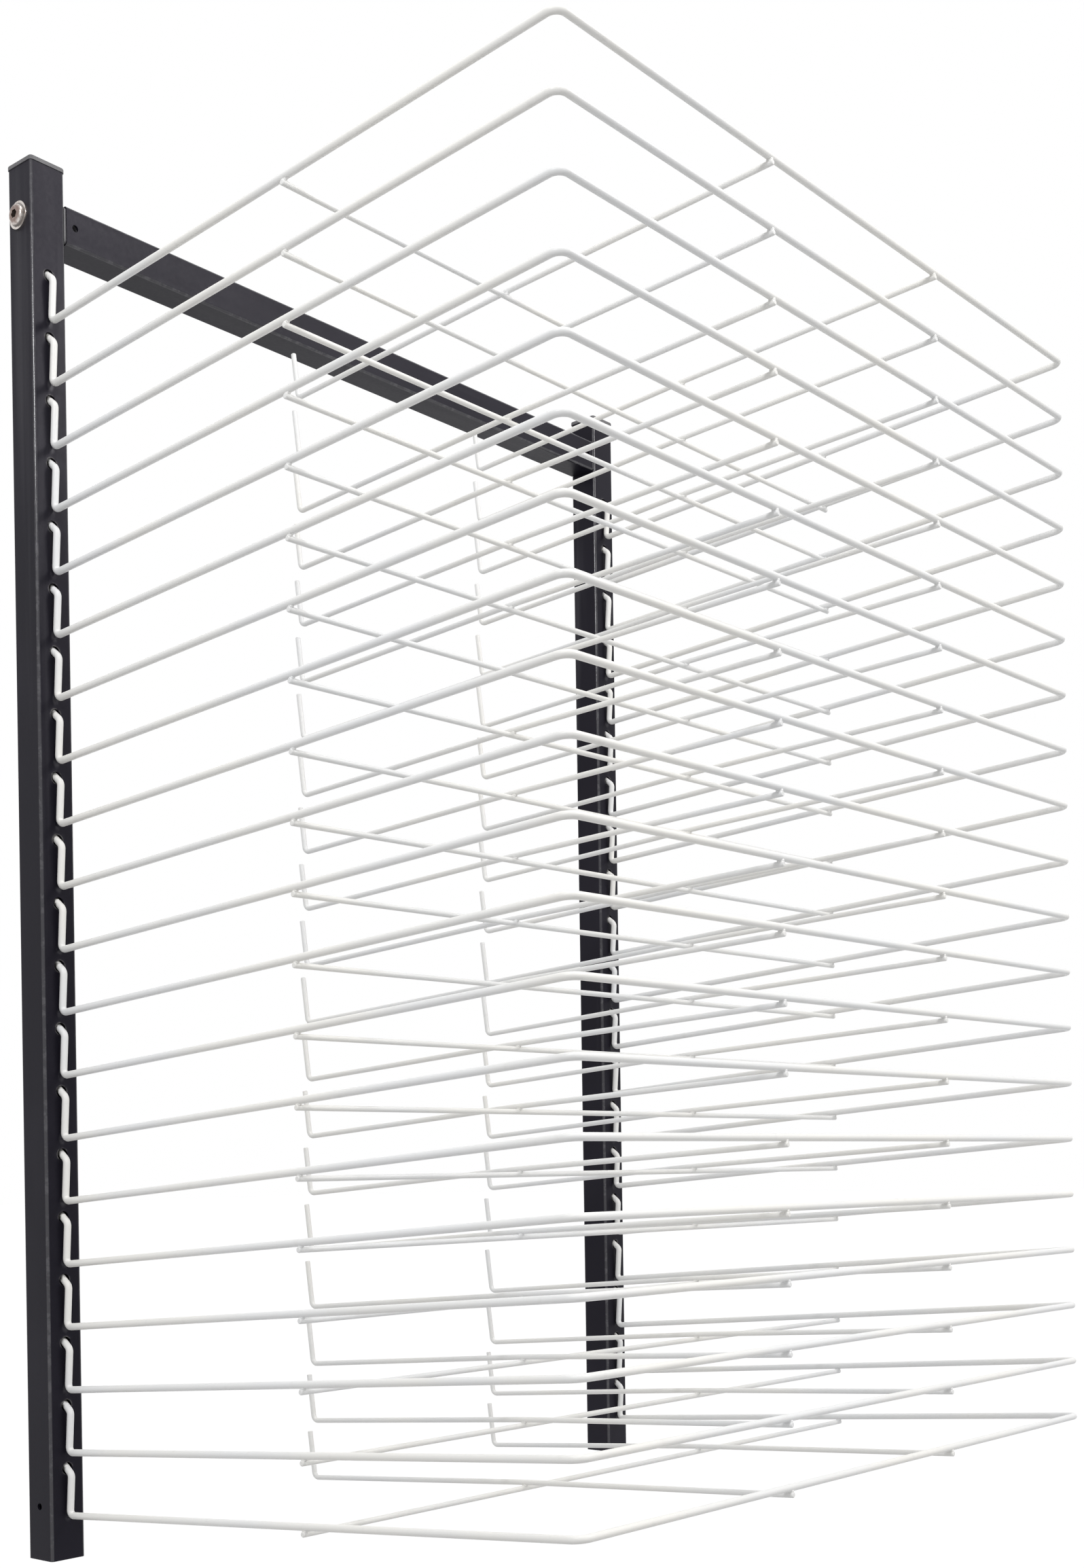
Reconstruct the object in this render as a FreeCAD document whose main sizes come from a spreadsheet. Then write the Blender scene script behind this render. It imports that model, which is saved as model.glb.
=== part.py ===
# Wall-mounted art drying rack: two square posts joined by a crossbar carry a stack of
# bent-wire shelves.  Each shelf hooks into a hole in each post and hinges up out of the way.
#
# Frame: X along the wall, -Y out from the wall, +Z up.  The origin is on the wall, midway
# between the two wall screws in the crossbar.  Lengths are in millimetres, angles in degrees.

import FreeCAD, Part
import Sketcher
import math
import os
import re

sizes = {
    # Posts and crossbar: square steel tube
    "tube_side": 25,  # outer side of the square tube
    "tube_wall": 1.5,  # wall of the square tube
    "tube_corner": 2,  # outer corner radius of the tube
    "tube_bore_corner": 0.6,  # inner corner radius of the tube
    "post_spacing": 560,  # centre to centre of the posts, and of a shelf's two side rails
    "first_hole_drop": 70,  # top end of a post down to its first hook hole
    "last_hole_rise": 58,  # bottom end of a post up to its last hook hole
    "crossbar_drop": 20,  # top end of a post down to the top of the crossbar
    "drain_hole": 4.5,  # coating drain hole in the outer side of a post
    "drain_rise": 34,  # bottom end of a post up to its drain hole

    # Wall screws
    "wall_screw_hole": 4.5,  # hole for a wall screw
    "wall_screw_inset": 8,  # inner face of a post to a wall screw's axis

    # Frame bolts: flanged button heads
    "bolt_thread": 8,  # diameter of the bolt that holds the crossbar
    "bolt_play": 0.25,  # gap all round the bolt in the post
    "bolt_reach": 5,  # how far the bolt goes past the post
    "thread_gap": 0.05,  # gap all round the bolt in the end plug's thread
    "flange_across": 17.5,  # diameter of the bolt head's flange
    "flange_thick": 1.6,  # thickness of the flange
    "dome_across": 13.6,  # diameter of the button head
    "dome_height": 4.4,  # height of the head over the post
    "dome_round": 2.4,  # rounding of the button head
    "socket_across": 5,  # hex socket across flats
    "socket_depth": 2.6,  # depth of the hex socket

    # Push-in caps and plugs
    "cap_overhang": 0.5,  # how far a cap's lip stands out past the tube
    "cap_lip": 3,  # thickness of a cap's lip
    "cap_round": 1.2,  # rounding of the lip's top edges
    "cap_depth": 13,  # depth of a cap's spigot
    "cap_wall": 1.6,  # wall of a cap's spigot
    "plug_margin": 0.8,  # how far a plug's flange stays inside the tube's outline
    "plug_flange": 1.5,  # thickness of a plug's flange
    "plug_depth": 18,  # depth of a plug's spigot
    "spigot_gap": 0.9,  # gap between a spigot and the tube, bridged by its barbs
    "barb_gap": 0.1,  # gap between a barb and the tube
    "barb_thick": 1,  # thickness of a barb
    "barb_pitch": 4,  # distance between barbs
    "barb_count": 3,  # number of barbs on a spigot

    # Shelves
    "shelf_count": 20,  # number of shelves, and of hook holes in each post
    "shelf_pitch": 40,  # distance between shelves
    "shelf_depth": 425,  # rear corner of a side rail to the front wire, along the rail
    "shelf_tilt": 4.3,  # rise of a shelf towards its front
    "frame_wire": 4.5,  # diameter of the frame wire
    "rod_wire": 3.5,  # diameter of the rods and the cross wire
    "corner_radius": 7,  # radius of a shelf's front corners, to the wire's axis
    "weld_gap": 0.05,  # gap between welded wires

    # Hooks, bent from the ends of the frame wire
    "hook_hole": 7.6,  # diameter of a hook hole
    "hook_rise": 30,  # centre of a hook hole over the rear corner of its shelf
    "leg_angle": 81.2,  # angle between a side rail and the hook's leg
    "bend_radius": 3.5,  # bend between rail and leg, to the wire's axis
    "joggle_angle": 58,  # turn of the leg into the hole, and back up behind the wall
    "joggle_radius": 4,  # bends of the joggle, to the wire's axis
    "tail_length": 8.5,  # straight end of the hook inside the post
    "seat_gap": 0.3,  # gap between the hook and the faces of the post

    # Rods along the shelf, and the wire across it
    "rod_spacing": 186.7,  # centre to centre of the two rods
    "cross_wire_reach": 222,  # rear corner of a side rail to the cross wire
    "rod_setback": 24,  # rear corner of a side rail to the rods' upturned ends
    "stop_height": 32,  # height of the upturned ends over the side rails' axis
    "stop_angle": 93.6,  # angle between a rod and its upturned end
    "stop_bend": 4,  # bend of the upturned end, to the wire's axis
    "kink_radius": 400,  # soft bend where a rod leaves the cross wire for the front wire
}

vec = FreeCAD.Vector
doc = FreeCAD.newDocument("ArtDryingRack")
sheet = doc.addObject("Spreadsheet::Sheet", "Sizes")
fits = doc.addObject("App::VarSet", "Fits")
known = {}
for row, (name, number) in enumerate(sizes.items(), 1):
    sheet.set(f"A{row}", name)
    sheet.set(f"B{row}", str(number))
    sheet.setAlias(f"B{row}", name)
    known[name] = f"Sizes.{name}"


def derive(name, text):
    """Work out one dependent dimension from the others."""
    fits.addProperty("App::PropertyFloat", name)
    fits.setExpression(name, linked(text))
    known[name] = f"Fits.{name}"


def linked(text):
    """Turn plain names in a formula into references to the sheet and to the fits."""
    return re.sub("[a-z_]+", lambda word: known.get(word.group(0), word.group(0)), text)


def value(name):
    owner = sheet if known[name].startswith("Sizes") else fits
    return float(getattr(owner, name))


def bind(item, **formulas):
    """Bind properties of an object: Base_x stands for Placement.Base.x."""
    for name, text in formulas.items():
        path = name.replace("Offset_", "AttachmentOffset.Base.").replace("Base_", "Placement.Base.")
        item.setExpression(path, linked(text))


# Tube and crossbar
derive("tube_bore", "tube_side - 2 * tube_wall")
derive("post_height", "first_hole_drop + (shelf_count - 1) * shelf_pitch + last_hole_rise")
derive("post_top", "crossbar_drop + tube_side / 2")
derive("first_hole", "post_top - first_hole_drop")
derive("crossbar_length", "post_spacing - tube_side - 2 * plug_flange")
derive("bolt_length", "tube_side + bolt_reach")
derive("bolt_hole", "bolt_thread + 2 * bolt_play")
derive("plug_thread", "bolt_thread + 2 * thread_gap")

# Caps and plugs
derive("cap_side", "tube_side + 2 * cap_overhang")
derive("cap_corner", "tube_corner + cap_overhang")
derive("spigot_side", "tube_bore - 2 * spigot_gap")
derive("spigot_hollow", "spigot_side - 2 * cap_wall")
derive("plug_side", "tube_side - 2 * plug_margin")
derive("barb_side", "tube_bore - 2 * barb_gap")

# Hook: the leg leans out from the post by leg_lean, and the joggle's straight stretch runs
# through the centre of the hole, halfway through the post's front wall.
derive("leg_lean", "90 - leg_angle - shelf_tilt")
derive("leg_turn", "180 - leg_angle")
derive("leg_setback", "bend_radius / tan(leg_angle * 1deg / 2)")
derive("bend_throw", "bend_radius * (1 + sin(shelf_tilt * 1deg)) - leg_setback * cos(shelf_tilt * 1deg)")
derive("stand_off", "seat_gap + frame_wire / 2 + bend_throw")
derive("hole_reach", "stand_off + tube_wall / 2")
derive("hole_across", "hole_reach * cos(leg_lean * 1deg) + hook_rise * sin(leg_lean * 1deg)")
derive("hole_along", "hook_rise * cos(leg_lean * 1deg) - hole_reach * sin(leg_lean * 1deg)")
derive("joggle_shift", "joggle_radius * (1 - cos(joggle_angle * 1deg))")
derive("joggle_start", "joggle_radius * sin(joggle_angle * 1deg)"
       " + (hole_across - joggle_shift) / tan(joggle_angle * 1deg)")
derive("leg_run", "hole_along - joggle_start - leg_setback")
derive("tail_top", "joggle_radius * tan(joggle_angle * 1deg / 2) + tail_length")
derive("tail_offset", "(tube_wall / 2 + seat_gap + frame_wire / 2 * cos(leg_lean * 1deg)"
       " + tail_top * sin(leg_lean * 1deg))"
       " / (cos(leg_lean * 1deg) - sin(leg_lean * 1deg) / tan(joggle_angle * 1deg))")
derive("joggle_run", "(hole_across + tail_offset - 2 * joggle_shift) / sin(joggle_angle * 1deg)")
derive("rail_run", "shelf_depth - corner_radius - leg_setback")
derive("front_run", "post_spacing - 2 * corner_radius")

# Rods: level over the cross wire, then down under the front wire
derive("wire_drop", "(frame_wire + rod_wire) / 2 + weld_gap")
derive("rod_sink", "wire_drop - rod_wire - weld_gap")
derive("front_cell", "shelf_depth - cross_wire_reach")
derive("rod_slope", "(asin(wire_drop / sqrt(front_cell ^ 2 + rod_sink ^ 2))"
       " - atan(rod_sink / front_cell)) / 1deg")
derive("kink_setback", "kink_radius * tan(rod_slope * 1deg / 2)")
derive("rod_front", "front_cell + frame_wire / 2")
derive("rod_front_run", "rod_front / cos(rod_slope * 1deg) - kink_setback")
derive("stop_setback", "stop_bend / tan(stop_angle * 1deg / 2)")
derive("rod_rear_run", "cross_wire_reach - rod_setback - kink_setback - stop_setback")
derive("stop_turn", "180 - stop_angle")
derive("stop_run", "(stop_height + rod_sink) / sin(stop_angle * 1deg) - stop_setback")
doc.recompute()


# ---- Sketch and feature helpers

def origin_part(body, role):
    return next(item for item in body.Origin.OriginFeatures if item.Role == role)


def new_body(label, **place):
    body = doc.addObject("PartDesign::Body", label)
    bind(body, **place)
    return body


def new_sketch(body, label, plane, **offset):
    """Put a sketch on one of the body's origin planes, moved by the offsets along its own axes."""
    sketch = body.newObject("Sketcher::SketchObject", label)
    sketch.AttachmentSupport = [(origin_part(body, plane), "")]
    sketch.MapMode = "FlatFace"
    bind(sketch, **offset)
    return sketch


def dimension(sketch, formula, *constraint):
    """Add a constraint whose value is bound to a formula."""
    index = sketch.addConstraint(Sketcher.Constraint(*constraint))
    sketch.setExpression(f"Constraints[{index}]", linked(formula))


def circle(sketch, diameter):
    """A circle about the sketch's origin."""
    radius = value(diameter) / 2
    ring = sketch.addGeometry(Part.Circle(vec(0, 0, 0), vec(0, 0, 1), radius), False)
    sketch.addConstraint(Sketcher.Constraint("Coincident", ring, 3, -1, 1))
    dimension(sketch, f"{diameter} / 2", "Radius", ring, radius)


def rounded_square(sketch, side, corner):
    """A square with round corners about the sketch's origin."""
    half = value(side) / 2
    radius = value(corner)
    flat = half - radius
    first = sketch.GeometryCount
    for quarter in range(4):
        turn = FreeCAD.Rotation(vec(0, 0, 1), 90 * quarter)
        edge = Part.LineSegment(turn.multVec(vec(half, -flat, 0)), turn.multVec(vec(half, flat, 0)))
        centre = turn.multVec(vec(flat, flat, 0))
        angle = math.radians(90 * quarter)
        bend = Part.ArcOfCircle(Part.Circle(centre, vec(0, 0, 1), radius), angle, angle + math.pi / 2)
        sketch.addGeometry([edge, bend], False)
    right, top, left, bottom = (first, first + 2, first + 4, first + 6)
    for edge in (right, top, left, bottom):
        following = first + (edge - first + 2) % 8
        sketch.addConstraint(Sketcher.Constraint("Tangent", edge, 2, edge + 1, 1))
        sketch.addConstraint(Sketcher.Constraint("Tangent", edge + 1, 2, following, 1))
    for edge in (right, left):
        sketch.addConstraint(Sketcher.Constraint("Vertical", edge))
    for edge in (top, bottom):
        sketch.addConstraint(Sketcher.Constraint("Horizontal", edge))
        sketch.addConstraint(Sketcher.Constraint("Equal", right + 1, edge + 1))
    sketch.addConstraint(Sketcher.Constraint("Equal", right + 1, left + 1))
    sketch.addConstraint(Sketcher.Constraint("Symmetric", right, 1, left, 1, -1, 1))
    dimension(sketch, side, "DistanceX", left, 1, right, 1, 2 * half)
    dimension(sketch, side, "DistanceY", bottom, 1, top, 1, 2 * half)
    dimension(sketch, corner, "Radius", right + 1, radius)


def hexagon(sketch, across_flats):
    """A hexagon about the sketch's origin, with one side upright."""
    reach = value(across_flats) / math.sqrt(3)
    corners = [FreeCAD.Rotation(vec(0, 0, 1), 60 * n - 30).multVec(vec(reach, 0, 0)) for n in range(6)]
    for n in range(6):
        sketch.addGeometry(Part.LineSegment(corners[n], corners[(n + 1) % 6]), False)
    ring = sketch.addGeometry(Part.Circle(vec(0, 0, 0), vec(0, 0, 1), reach), True)
    sketch.addConstraint(Sketcher.Constraint("Coincident", ring, 3, -1, 1))
    for n in range(6):
        sketch.addConstraint(Sketcher.Constraint("Coincident", n, 2, (n + 1) % 6, 1))
        sketch.addConstraint(Sketcher.Constraint("PointOnObject", n, 1, ring))
    for n in range(1, 6):
        sketch.addConstraint(Sketcher.Constraint("Equal", 0, n))
    sketch.addConstraint(Sketcher.Constraint("Vertical", 0))
    dimension(sketch, f"{across_flats} / sqrt(3)", "Radius", ring, reach)


def bent_line(sketch, heading, moves):
    """Draw a bent wire's axis from the sketch's origin: ("run", length) goes straight on, and
    ("left" or "right", radius, turn) bends.  Lengths, radii and turns are names in the sheet
    or the fits, and a turn may be a plain number of degrees."""
    place = vec(0, 0, 0)
    angle = heading if isinstance(heading, (int, float)) else value(heading)
    for move in moves:
        ahead = vec(math.cos(math.radians(angle)), math.sin(math.radians(angle)), 0)
        if move[0] == "run":
            end = place + ahead * value(move[1])
            index = sketch.addGeometry(Part.LineSegment(place, end), False)
            dimension(sketch, move[1], "Distance", index, value(move[1]))
            start_mark, end_mark = 1, 2
        else:
            side = 1 if move[0] == "left" else -1
            radius = value(move[1])
            turn = move[2] if isinstance(move[2], (int, float)) else value(move[2])
            centre = place + vec(-ahead.y, ahead.x, 0) * side * radius
            first = math.radians(angle - 90 * side)
            last = first + math.radians(turn) * side
            ring = Part.Circle(centre, vec(0, 0, 1), radius)
            index = sketch.addGeometry(Part.ArcOfCircle(ring, min(first, last), max(first, last)), False)
            dimension(sketch, move[1], "Radius", index, radius)
            dimension(sketch, f"{move[2]} * 1deg", "Angle", index, math.radians(turn))
            start_mark, end_mark = (1, 2) if side == 1 else (2, 1)
            end = centre + vec(math.cos(last), math.sin(last), 0) * radius
            angle += turn * side
        if index:
            sketch.addConstraint(Sketcher.Constraint("Tangent", index - 1, last_mark, index, start_mark))
        else:
            sketch.addConstraint(Sketcher.Constraint("Coincident", index, start_mark, -1, 1))
            aim_first(sketch, move, heading)
        last_mark = end_mark
        place = end


def aim_first(sketch, move, heading):
    """Point the first run or bend of a bent line along its heading."""
    if move[0] != "run":
        sketch.addConstraint(Sketcher.Constraint("Vertical", 0, 3, -1, 1))
    elif heading == -90:
        sketch.addConstraint(Sketcher.Constraint("Vertical", 0))
    else:
        dimension(sketch, f"{heading} * 1deg", "Angle", 0, math.radians(value(heading)))


def pad(body, label, sketch, length, downwards=False):
    feature = body.newObject("PartDesign::Pad", label)
    feature.Profile = sketch
    feature.Reversed = downwards
    bind(feature, Length=length)
    return feature


def pocket(body, label, sketch, depth, forwards=False):
    """Cut a sketch into the body, against its normal unless forwards, and check that it cut."""
    doc.recompute()
    before = body.Shape.Volume
    feature = body.newObject("PartDesign::Pocket", label)
    feature.Profile = sketch
    feature.Reversed = forwards
    bind(feature, Length=depth)
    doc.recompute()
    if feature.Shape.Volume > before - 0.1:
        raise RuntimeError(f"{label} in {body.Label} cuts nothing")
    return feature


def bore(body, label, plane, diameter, depth, forwards=False, **offset):
    """Drill a round hole from a point on a plane."""
    sketch = new_sketch(body, f"{label}_outline", plane, **offset)
    circle(sketch, diameter)
    return pocket(body, label, sketch, depth, forwards)


def disc(body, label, diameter, height, downwards=False):
    """A round boss on the body's XY plane."""
    sketch = new_sketch(body, f"{label}_outline", "XY_Plane")
    circle(sketch, diameter)
    return pad(body, label, sketch, height, downwards)


def square_pad(body, label, sides, corners, height, downwards=False, **offset):
    """A pad between nested rounded squares: one is a block, two are a ring or a tube."""
    sketch = new_sketch(body, f"{label}_outline", offset.pop("plane", "XY_Plane"), **offset)
    for side, corner in zip(sides, corners):
        rounded_square(sketch, side, corner)
    return pad(body, label, sketch, height, downwards)


def repeat_down(body, label, feature, length, count):
    """Copy a feature down the body's own Z axis."""
    pattern = body.newObject("PartDesign::LinearPattern", label)
    pattern.Originals = [feature]
    pattern.Direction = (origin_part(body, "Z_Axis"), [""])
    pattern.Reversed = True
    bind(pattern, Length=length, Occurrences=count)
    body.Tip = pattern


def mirror_across(body, label, feature):
    """Copy a feature to the other side of the body's YZ plane."""
    copy = body.newObject("PartDesign::Mirrored", label)
    copy.Originals = [feature]
    copy.MirrorPlane = (origin_part(body, "YZ_Plane"), [""])
    body.Tip = copy


def sweep(body, label, profile, path):
    """Carry a wire's section along its axis."""
    doc.recompute()
    pipe = body.newObject("PartDesign::AdditivePipe", label)
    pipe.Profile = profile
    pipe.Spine = (path, [f"Edge{n + 1}" for n in range(len(path.Shape.Edges))])
    return pipe


def round_edges(body, label, height, radius):
    """Round every edge of the body that lies at a height."""
    doc.recompute()
    base = body.Tip
    found = []
    for number, edge in enumerate(base.Shape.Edges, 1):
        if all(abs(corner.Z - value(height)) < 1e-4 for corner in edge.Vertexes):
            found.append(f"Edge{number}")
    fillet = body.newObject("PartDesign::Fillet", label)
    fillet.Base = (base, found)
    bind(fillet, Radius=radius)


def instance(label, items, **place):
    """A copy of other objects, moved as one."""
    copy = doc.addObject("Part::Compound", label)
    copy.Links = items
    bind(copy, **place)
    return copy


def turned(item, axis, angle):
    item.Placement = FreeCAD.Placement(vec(0, 0, 0), FreeCAD.Rotation(axis, angle))
    return item


# ---- Posts, crossbar and what closes and joins them

def make_post(label, side):
    """A post, with side -1 on the left and 1 on the right.  Its own origin is on its axis,
    level with the crossbar's axis."""
    post = new_body(label, Base_x=f"{side} * post_spacing / 2", Base_y="-tube_side / 2")
    square_pad(post, f"{label}_tube", ["tube_side", "tube_bore"], ["tube_corner", "tube_bore_corner"],
               "post_height", downwards=True, Offset_z="post_top")
    hole = bore(post, f"{label}_hook_hole", "XZ_Plane", "hook_hole", "tube_side / 2",
                Offset_z="tube_side / 2", Offset_y="first_hole")
    repeat_down(post, f"{label}_hook_holes", hole, "(shelf_count - 1) * shelf_pitch", "shelf_count")
    bore(post, f"{label}_bolt_hole", "YZ_Plane", "bolt_hole", "tube_side", Offset_z="tube_side / 2")
    bore(post, f"{label}_drain", "YZ_Plane", "drain_hole", "tube_side / 2", forwards=side < 0,
         Offset_z=f"{side} * tube_side / 2", Offset_y="post_top - post_height + drain_rise")
    return post


def make_crossbar():
    """The crossbar lies flush between the posts, with a hole for a wall screw near each end."""
    crossbar = new_body("crossbar", Base_y="-tube_side / 2")
    square_pad(crossbar, "crossbar_tube", ["tube_side", "tube_bore"], ["tube_corner", "tube_bore_corner"],
               "crossbar_length", plane="YZ_Plane", Offset_z="-crossbar_length / 2")
    hole = bore(crossbar, "wall_screw", "XZ_Plane", "wall_screw_hole", "tube_side",
                Offset_z="tube_side / 2", Offset_x="(post_spacing - tube_side) / 2 - wall_screw_inset")
    mirror_across(crossbar, "wall_screws", hole)
    return crossbar


def make_insert(label, lip_side, lip_corner, lip, depth, hollow=None):
    """A push-in end for a tube: a lip over the tube's end at the body's XY plane, and a barbed
    spigot below it, which is open underneath where a hollow is named."""
    insert = new_body(label)
    square_pad(insert, f"{label}_lip", [lip_side], [lip_corner], lip)
    inner = [hollow] if hollow else []
    corners = ["tube_bore_corner"] * 2
    square_pad(insert, f"{label}_spigot", ["spigot_side"] + inner, corners, depth, downwards=True)
    barb = square_pad(insert, f"{label}_barb", ["barb_side"] + inner, corners, "barb_thick",
                      downwards=True, Offset_z="-barb_pitch / 2")
    repeat_down(insert, f"{label}_barbs", barb, "(barb_count - 1) * barb_pitch", "barb_count")
    return insert


def make_cap():
    """The plastic cap in the top of a post."""
    cap = make_insert("post_cap", "cap_side", "cap_corner", "cap_lip", "cap_depth", "spigot_hollow")
    round_edges(cap, "post_cap_rounding", "cap_lip", "cap_round")
    return cap


def make_plug():
    """The plug in an end of the crossbar, threaded for the frame bolt and crossed by the wall
    screw, which pins it in the tube."""
    plug = make_insert("end_plug", "plug_side", "tube_corner", "plug_flange", "plug_depth")
    bore(plug, "plug_thread", "XY_Plane", "plug_thread", "plug_flange + plug_depth",
         Offset_z="plug_flange")
    bore(plug, "plug_cross_hole", "XZ_Plane", "wall_screw_hole", "tube_side",
         Offset_z="tube_side / 2", Offset_y="plug_flange - wall_screw_inset")
    return plug


def make_bolt():
    """A flanged button-head bolt with its head seated on the body's XY plane."""
    bolt = new_body("frame_bolt")
    disc(bolt, "bolt_shank", "bolt_thread", "bolt_length", downwards=True)
    disc(bolt, "bolt_flange", "flange_across", "flange_thick")
    disc(bolt, "bolt_dome", "dome_across", "dome_height")
    round_edges(bolt, "bolt_dome_rounding", "dome_height", "dome_round")
    socket = new_sketch(bolt, "bolt_socket_outline", "XY_Plane", Offset_z="dome_height")
    hexagon(socket, "socket_across")
    pocket(bolt, "bolt_socket", socket, "socket_depth")
    return bolt


# ---- Shelves

def set_on_shelf(item):
    """Place a shelf's piece: its XY plane lies in the side rails' axes, with the origin midway
    between their rear corners, and tips up towards the front."""
    turned(item, vec(-1, 0, 0), value("shelf_tilt"))
    item.setExpression("Placement.Rotation.Angle", linked("shelf_tilt * 1deg"))
    bind(item, Base_y="-(tube_side + stand_off)", Base_z="first_hole - hook_rise")


def make_frame_wire():
    """One wire bent into the shelf's two side rails and front, with a joggled hook at each end
    that goes in through the post's front wall and stands up behind it."""
    frame = doc.addObject("PartDesign::Body", "frame_wire")
    set_on_shelf(frame)
    left_end = {"Offset_x": "-post_spacing / 2"}
    section = new_sketch(frame, "frame_section", "XZ_Plane", Offset_z="leg_setback", **left_end)
    circle(section, "frame_wire")
    outline = new_sketch(frame, "frame_outline", "XY_Plane", Offset_y="-leg_setback", **left_end)
    bent_line(outline, -90, [
        ("run", "rail_run"), ("left", "corner_radius", 90), ("run", "front_run"),
        ("left", "corner_radius", 90), ("run", "rail_run")])
    sweep(frame, "frame_rails", section, outline)
    hook = new_sketch(frame, "hook_outline", "YZ_Plane", Offset_x="-leg_setback",
                      Offset_z="-post_spacing / 2")
    bent_line(hook, 0, [
        ("left", "bend_radius", "leg_turn"), ("run", "leg_run"),
        ("right", "joggle_radius", "joggle_angle"), ("run", "joggle_run"),
        ("left", "joggle_radius", "joggle_angle"), ("run", "tail_length")])
    left_hook = sweep(frame, "left_hook", section, hook)
    mirror_across(frame, "right_hook", left_hook)
    return frame


def make_cross_wire():
    """The straight wire under the side rails, with its ends flush with their outer sides."""
    wire = turned(doc.addObject("Part::Cylinder", "cross_wire"), vec(0, 1, 0), 90)
    bind(wire, Radius="rod_wire / 2", Height="post_spacing + frame_wire",
         Base_x="-(post_spacing + frame_wire) / 2", Base_y="-cross_wire_reach", Base_z="-wire_drop")
    return wire


def make_rod():
    """The left rod: from under the front wire it climbs to lie on the cross wire, runs back
    beside the side rails and turns up to stop the sheets."""
    rod = doc.addObject("PartDesign::Body", "rod")
    front_end = "-rod_sink - rod_front * tan(rod_slope * 1deg)"
    section = new_sketch(rod, "rod_section", "XZ_Plane", Offset_x="-rod_spacing / 2",
                         Offset_y=front_end, Offset_z="shelf_depth + frame_wire / 2")
    circle(section, "rod_wire")
    outline = new_sketch(rod, "rod_outline", "YZ_Plane", Offset_x="-(shelf_depth + frame_wire / 2)",
                         Offset_y=front_end, Offset_z="-rod_spacing / 2")
    bent_line(outline, "rod_slope", [
        ("run", "rod_front_run"), ("right", "kink_radius", "rod_slope"), ("run", "rod_rear_run"),
        ("left", "stop_bend", "stop_turn"), ("run", "stop_run")])
    sweep(rod, "rod_wire", section, outline)
    return rod


def make_shelf_rods():
    """The cross wire and the two rods, which are welded to the frame wire."""
    rod = make_rod()
    other = doc.addObject("Part::Mirroring", "right_rod")
    other.Source = rod
    other.Normal = vec(1, 0, 0)
    rods = instance("rods", [make_cross_wire(), rod, other])
    set_on_shelf(rods)
    return rods


# ---- The whole rack

def build():
    """Make every piece, and give the ones that are kept."""
    kept = [make_post("post_left", -1), make_post("post_right", 1), make_crossbar()]
    cap, plug, bolt = make_cap(), make_plug(), make_bolt()
    bolts = []
    for name, side in (("left", -1), ("right", 1)):
        kept.append(instance(f"post_cap_{name}", [cap], Base_x=f"{side} * post_spacing / 2",
                             Base_y="-tube_side / 2", Base_z="post_top"))
        end_plug = turned(instance(f"crossbar_end_plug_{name}", [plug]), vec(0, 1, 0), 90 * side)
        bind(end_plug, Base_x=f"{side} * crossbar_length / 2", Base_y="-tube_side / 2")
        kept.append(end_plug)
        frame_bolt = turned(instance(f"frame_bolt_{name}", [bolt]), vec(0, 1, 0), 90 * side)
        bind(frame_bolt, Base_x=f"{side} * (post_spacing + tube_side) / 2", Base_y="-tube_side / 2")
        bolts.append(frame_bolt)
    kept.append(instance("frame_bolts", bolts))
    frame, rods = make_frame_wire(), make_shelf_rods()
    for number in range(int(value("shelf_count"))):
        drop = f"-{number} * shelf_pitch"
        kept.append(instance(f"shelf_{number + 1:02d}_frame", [frame], Base_z=drop))
        kept.append(instance(f"shelf_{number + 1:02d}_rods", [rods], Base_z=drop))
    return kept


def check(kept):
    for item in doc.Objects:
        if "Invalid" in item.State or "Error" in item.State:
            raise RuntimeError(f"{item.Label} did not build: {item.State}")
    for item in kept:
        if item.Shape.isNull() or not item.Shape.isValid() or not item.Shape.Solids:
            raise RuntimeError(f"{item.Label} has no sound shape")


kept = build()
doc.recompute()
check(kept)
os.makedirs("parts", exist_ok=True)
for item in kept:
    item.Shape.exportStep(f"parts/{item.Label}.step")
    box = item.Shape.BoundBox
    print(f"{item.Label}: {len(item.Shape.Solids)} solids, {item.Shape.Volume / 1000:.2f} cm3,"
          f" {box.XLength:.1f} x {box.YLength:.1f} x {box.ZLength:.1f} mm")
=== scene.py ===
import math

import bpy
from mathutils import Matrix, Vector


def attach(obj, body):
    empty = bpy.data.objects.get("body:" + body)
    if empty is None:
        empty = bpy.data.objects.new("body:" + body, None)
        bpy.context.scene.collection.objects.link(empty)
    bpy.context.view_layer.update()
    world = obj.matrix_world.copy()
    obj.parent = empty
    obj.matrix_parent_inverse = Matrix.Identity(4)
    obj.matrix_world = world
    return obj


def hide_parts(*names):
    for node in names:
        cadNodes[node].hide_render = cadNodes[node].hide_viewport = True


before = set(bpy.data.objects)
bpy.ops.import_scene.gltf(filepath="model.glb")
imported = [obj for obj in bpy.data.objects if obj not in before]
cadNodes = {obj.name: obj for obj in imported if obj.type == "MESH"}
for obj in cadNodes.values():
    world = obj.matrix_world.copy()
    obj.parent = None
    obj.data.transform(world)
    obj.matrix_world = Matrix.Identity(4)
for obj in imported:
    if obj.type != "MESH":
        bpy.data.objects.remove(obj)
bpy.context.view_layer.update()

scene = bpy.context.scene
scene.view_settings.view_transform = "Standard"


cameraSetup = {
    "place": (-1.00212, -1.05716, -0.61097),
    "heading": -0.8821,  # radians about Z, 0 looks along +Y
    "roll": 0.0155,
    "focalLength": 43.72,
    "longSide": 36.0,  # film size, in mm as the focal length
    "shiftAcross": -0.0326,
    "shiftUp": 0.2444,
    "nearest": 0.02,
    "farthest": 200,
}


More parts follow.
